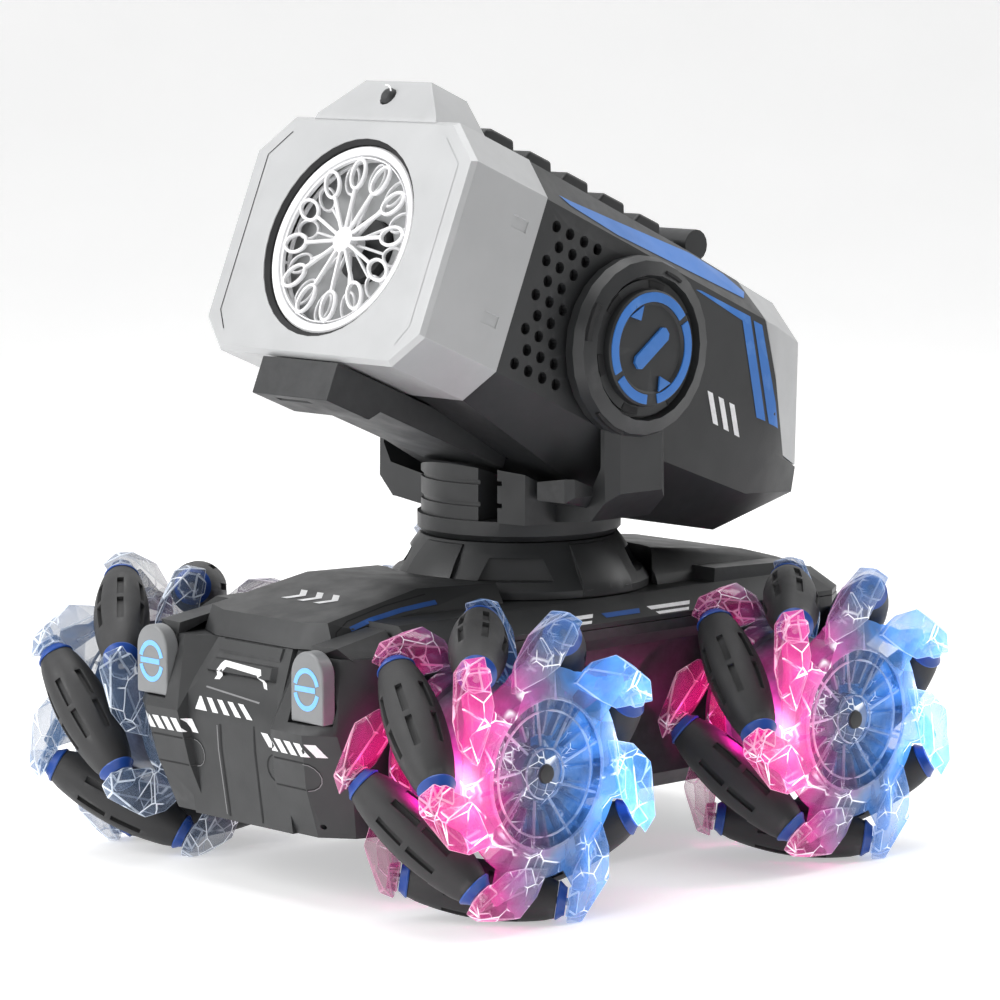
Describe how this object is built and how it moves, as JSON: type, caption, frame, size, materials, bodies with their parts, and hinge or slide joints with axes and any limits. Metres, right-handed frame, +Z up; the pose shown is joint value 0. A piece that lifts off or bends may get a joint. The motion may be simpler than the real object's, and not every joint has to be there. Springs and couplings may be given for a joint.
{
  "type": "mecanum wheel robot",
  "caption": "Four-wheel-drive toy robot on roller wheels, with a turning, tilting bubble-blower head on a fork over a low chassis.",
  "frame": {"origin": "centre of the bounding box on the ground plane the four wheels stand on", "axes": "+Z up; the robot faces -Y; +X is the side of the left wheels"},
  "size_m": [0.2102, 0.2456, 0.2669],
  "materials": {
    "black": "fine-textured moulded ABS, near black",
    "blue": "blue and black printed cap",
    "cell": "heat-shrunk cells",
    "clear": "clear tinted polycarbonate lit from inside",
    "dark": "dark moulded plastic",
    "green": "green solder-masked board",
    "grey": "grey lens with a printed blue ring",
    "rubber": "matte moulded rubber roller",
    "silver": "satin silver-grey paint on plastic",
    "steel": "drawn steel rod",
    "switchgrey": "grey moulded slider",
    "white": "white moulded plastic",
    "yellow": "yellow gearbox plastic"
  },
  "bodies": {
    "chassis": {"chassis_tub": "black", "deck_cover": "black", "front_fascia": "black", "left_headlight": "grey", "right_headlight": "grey", "turntable_base": "black", "front_drive_motor": "yellow", "rear_drive_motor": "yellow", "battery_pack": "cell", "control_board": "green"},
    "turret": {"yoke": "black", "left_pivot_cap": "blue", "right_pivot_cap": "blue"},
    "head": {"head_housing": "black", "front_bezel": "silver", "rear_cap": "silver", "top_rail": "black", "rail_knob": "dark", "bubble_motor": "dark"},
    "bubble_wheel": {"bubble_wheel": "white"},
    "fan": {"fan_impeller": "white"},
    "solution_tray": {"solution_tray": "dark"},
    "battery_door": {"battery_door": "dark"},
    "power_switch": {"power_switch": "switchgrey"},
    "front_left_wheel": {"front_left_wheel_hub": "clear", "front_left_drive_shaft": "steel"},
    "rear_left_wheel": {"rear_left_wheel_hub": "clear", "rear_left_drive_shaft": "steel"},
    "front_right_wheel": {"front_right_wheel_hub": "clear", "front_right_drive_shaft": "steel"},
    "rear_right_wheel": {"rear_right_wheel_hub": "clear", "rear_right_drive_shaft": "steel"},
    "front_left_roller_1": {"front_left_roller_1": "rubber"},
    "front_left_roller_2": {"front_left_roller_2": "rubber"},
    "front_left_roller_3": {"front_left_roller_3": "rubber"},
    "front_left_roller_4": {"front_left_roller_4": "rubber"},
    "front_left_roller_5": {"front_left_roller_5": "rubber"},
    "front_left_roller_6": {"front_left_roller_6": "rubber"},
    "front_left_roller_7": {"front_left_roller_7": "rubber"},
    "rear_left_roller_1": {"rear_left_roller_1": "rubber"},
    "rear_left_roller_2": {"rear_left_roller_2": "rubber"},
    "rear_left_roller_3": {"rear_left_roller_3": "rubber"},
    "rear_left_roller_4": {"rear_left_roller_4": "rubber"},
    "rear_left_roller_5": {"rear_left_roller_5": "rubber"},
    "rear_left_roller_6": {"rear_left_roller_6": "rubber"},
    "rear_left_roller_7": {"rear_left_roller_7": "rubber"},
    "front_right_roller_1": {"front_right_roller_1": "rubber"},
    "front_right_roller_2": {"front_right_roller_2": "rubber"},
    "front_right_roller_3": {"front_right_roller_3": "rubber"},
    "front_right_roller_4": {"front_right_roller_4": "rubber"},
    "front_right_roller_5": {"front_right_roller_5": "rubber"},
    "front_right_roller_6": {"front_right_roller_6": "rubber"},
    "front_right_roller_7": {"front_right_roller_7": "rubber"},
    "rear_right_roller_1": {"rear_right_roller_1": "rubber"},
    "rear_right_roller_2": {"rear_right_roller_2": "rubber"},
    "rear_right_roller_3": {"rear_right_roller_3": "rubber"},
    "rear_right_roller_4": {"rear_right_roller_4": "rubber"},
    "rear_right_roller_5": {"rear_right_roller_5": "rubber"},
    "rear_right_roller_6": {"rear_right_roller_6": "rubber"},
    "rear_right_roller_7": {"rear_right_roller_7": "rubber"}
  },
  "joints": [
    {"name": "turret_yaw", "type": "hinge", "parent": "chassis", "child": "turret", "pos_m": [0, 0.013, 0.11075], "axis": [0, 0, 1], "range_deg": [-150, 150]},
    {"name": "head_tilt", "type": "hinge", "parent": "turret", "child": "head", "pos_m": [0, 0.013, 0.17805], "axis": [1, 0, 0], "range_deg": [-2, 3]},
    {"name": "solution_tray_slide", "type": "slide", "parent": "head", "child": "solution_tray", "axis": [0, -0.9231, 0.3845], "range_m": [0, 0.03]},
    {"name": "battery_door_slide", "type": "slide", "parent": "chassis", "child": "battery_door", "axis": [0, 1, 0], "range_m": [0, 0.03]},
    {"name": "power_switch_slide", "type": "slide", "parent": "chassis", "child": "power_switch", "axis": [0, 1, 0], "range_m": [0, 0.004]},
    {"name": "bubble_wheel_spin", "type": "hinge", "parent": "head", "child": "bubble_wheel", "pos_m": [0, -0.06988, 0.21601], "axis": [0, 0.9231, -0.3845], "continuous": true},
    {"name": "fan_spin", "type": "hinge", "parent": "head", "child": "fan", "pos_m": [0, -0.01911, 0.19487], "axis": [0, 0.9231, -0.3845], "continuous": true},
    {"name": "front_left_wheel_spin", "type": "hinge", "parent": "chassis", "child": "front_left_wheel", "pos_m": [0.0827, -0.07305, 0.04975], "axis": [1, 0, 0], "continuous": true},
    {"name": "rear_left_wheel_spin", "type": "hinge", "parent": "chassis", "child": "rear_left_wheel", "pos_m": [0.0827, 0.07305, 0.04975], "axis": [1, 0, 0], "continuous": true},
    {"name": "front_right_wheel_spin", "type": "hinge", "parent": "chassis", "child": "front_right_wheel", "pos_m": [-0.0827, -0.07305, 0.04975], "axis": [1, 0, 0], "continuous": true},
    {"name": "rear_right_wheel_spin", "type": "hinge", "parent": "chassis", "child": "rear_right_wheel", "pos_m": [-0.0827, 0.07305, 0.04975], "axis": [1, 0, 0], "continuous": true},
    {"name": "front_left_roller_1_spin", "type": "hinge", "parent": "front_left_wheel", "child": "front_left_roller_1", "pos_m": [0.0827, -0.03276, 0.05081], "axis": [0.7071, -0.0185, 0.7069], "continuous": true},
    {"name": "front_left_roller_2_spin", "type": "hinge", "parent": "front_left_wheel", "child": "front_left_roller_2", "pos_m": [0.0827, -0.04876, 0.08191], "axis": [0.7071, -0.5642, 0.4263], "continuous": true},
    {"name": "front_left_roller_3_spin", "type": "hinge", "parent": "front_left_wheel", "child": "front_left_roller_3", "pos_m": [0.0827, -0.08304, 0.08879], "axis": [0.7071, -0.685, -0.1753], "continuous": true},
    {"name": "front_left_roller_4_spin", "type": "hinge", "parent": "front_left_wheel", "child": "front_left_roller_4", "pos_m": [0.0827, -0.1098, 0.06628], "axis": [0.7071, -0.29, -0.6449], "continuous": true},
    {"name": "front_left_roller_5_spin", "type": "hinge", "parent": "front_left_wheel", "child": "front_left_roller_5", "pos_m": [0.0827, -0.10889, 0.03132], "axis": [0.7071, 0.3234, -0.6288], "continuous": true},
    {"name": "front_left_roller_6_spin", "type": "hinge", "parent": "front_left_wheel", "child": "front_left_roller_6", "pos_m": [0.0827, -0.08099, 0.01024], "axis": [0.7071, 0.6933, -0.1392], "continuous": true},
    {"name": "front_left_roller_7_spin", "type": "hinge", "parent": "front_left_wheel", "child": "front_left_roller_7", "pos_m": [0.0827, -0.04711, 0.01891], "axis": [0.7071, 0.5411, 0.4552], "continuous": true},
    {"name": "rear_left_roller_1_spin", "type": "hinge", "parent": "rear_left_wheel", "child": "rear_left_roller_1", "pos_m": [0.0827, 0.11334, 0.05081], "axis": [0.7071, -0.0185, 0.7069], "continuous": true},
    {"name": "rear_left_roller_2_spin", "type": "hinge", "parent": "rear_left_wheel", "child": "rear_left_roller_2", "pos_m": [0.0827, 0.09734, 0.08191], "axis": [0.7071, -0.5642, 0.4263], "continuous": true},
    {"name": "rear_left_roller_3_spin", "type": "hinge", "parent": "rear_left_wheel", "child": "rear_left_roller_3", "pos_m": [0.0827, 0.06306, 0.08879], "axis": [0.7071, -0.685, -0.1753], "continuous": true},
    {"name": "rear_left_roller_4_spin", "type": "hinge", "parent": "rear_left_wheel", "child": "rear_left_roller_4", "pos_m": [0.0827, 0.0363, 0.06628], "axis": [0.7071, -0.29, -0.6449], "continuous": true},
    {"name": "rear_left_roller_5_spin", "type": "hinge", "parent": "rear_left_wheel", "child": "rear_left_roller_5", "pos_m": [0.0827, 0.03721, 0.03132], "axis": [0.7071, 0.3234, -0.6288], "continuous": true},
    {"name": "rear_left_roller_6_spin", "type": "hinge", "parent": "rear_left_wheel", "child": "rear_left_roller_6", "pos_m": [0.0827, 0.06511, 0.01024], "axis": [0.7071, 0.6933, -0.1392], "continuous": true},
    {"name": "rear_left_roller_7_spin", "type": "hinge", "parent": "rear_left_wheel", "child": "rear_left_roller_7", "pos_m": [0.0827, 0.09899, 0.01891], "axis": [0.7071, 0.5411, 0.4552], "continuous": true},
    {"name": "front_right_roller_1_spin", "type": "hinge", "parent": "front_right_wheel", "child": "front_right_roller_1", "pos_m": [-0.0827, -0.11334, 0.05081], "axis": [-0.7071, 0.0185, 0.7069], "continuous": true},
    {"name": "front_right_roller_2_spin", "type": "hinge", "parent": "front_right_wheel", "child": "front_right_roller_2", "pos_m": [-0.0827, -0.09734, 0.08191], "axis": [-0.7071, 0.5642, 0.4263], "continuous": true},
    {"name": "front_right_roller_3_spin", "type": "hinge", "parent": "front_right_wheel", "child": "front_right_roller_3", "pos_m": [-0.0827, -0.06306, 0.08879], "axis": [-0.7071, 0.685, -0.1753], "continuous": true},
    {"name": "front_right_roller_4_spin", "type": "hinge", "parent": "front_right_wheel", "child": "front_right_roller_4", "pos_m": [-0.0827, -0.0363, 0.06628], "axis": [-0.7071, 0.29, -0.6449], "continuous": true},
    {"name": "front_right_roller_5_spin", "type": "hinge", "parent": "front_right_wheel", "child": "front_right_roller_5", "pos_m": [-0.0827, -0.03721, 0.03132], "axis": [-0.7071, -0.3234, -0.6288], "continuous": true},
    {"name": "front_right_roller_6_spin", "type": "hinge", "parent": "front_right_wheel", "child": "front_right_roller_6", "pos_m": [-0.0827, -0.06511, 0.01024], "axis": [-0.7071, -0.6933, -0.1392], "continuous": true},
    {"name": "front_right_roller_7_spin", "type": "hinge", "parent": "front_right_wheel", "child": "front_right_roller_7", "pos_m": [-0.0827, -0.09899, 0.01891], "axis": [-0.7071, -0.5411, 0.4552], "continuous": true},
    {"name": "rear_right_roller_1_spin", "type": "hinge", "parent": "rear_right_wheel", "child": "rear_right_roller_1", "pos_m": [-0.0827, 0.03276, 0.05081], "axis": [-0.7071, 0.0185, 0.7069], "continuous": true},
    {"name": "rear_right_roller_2_spin", "type": "hinge", "parent": "rear_right_wheel", "child": "rear_right_roller_2", "pos_m": [-0.0827, 0.04876, 0.08191], "axis": [-0.7071, 0.5642, 0.4263], "continuous": true},
    {"name": "rear_right_roller_3_spin", "type": "hinge", "parent": "rear_right_wheel", "child": "rear_right_roller_3", "pos_m": [-0.0827, 0.08304, 0.08879], "axis": [-0.7071, 0.685, -0.1753], "continuous": true},
    {"name": "rear_right_roller_4_spin", "type": "hinge", "parent": "rear_right_wheel", "child": "rear_right_roller_4", "pos_m": [-0.0827, 0.1098, 0.06628], "axis": [-0.7071, 0.29, -0.6449], "continuous": true},
    {"name": "rear_right_roller_5_spin", "type": "hinge", "parent": "rear_right_wheel", "child": "rear_right_roller_5", "pos_m": [-0.0827, 0.10889, 0.03132], "axis": [-0.7071, -0.3234, -0.6288], "continuous": true},
    {"name": "rear_right_roller_6_spin", "type": "hinge", "parent": "rear_right_wheel", "child": "rear_right_roller_6", "pos_m": [-0.0827, 0.08099, 0.01024], "axis": [-0.7071, -0.6933, -0.1392], "continuous": true},
    {"name": "rear_right_roller_7_spin", "type": "hinge", "parent": "rear_right_wheel", "child": "rear_right_roller_7", "pos_m": [-0.0827, 0.04711, 0.01891], "axis": [-0.7071, -0.5411, 0.4552], "continuous": true}
  ]
}
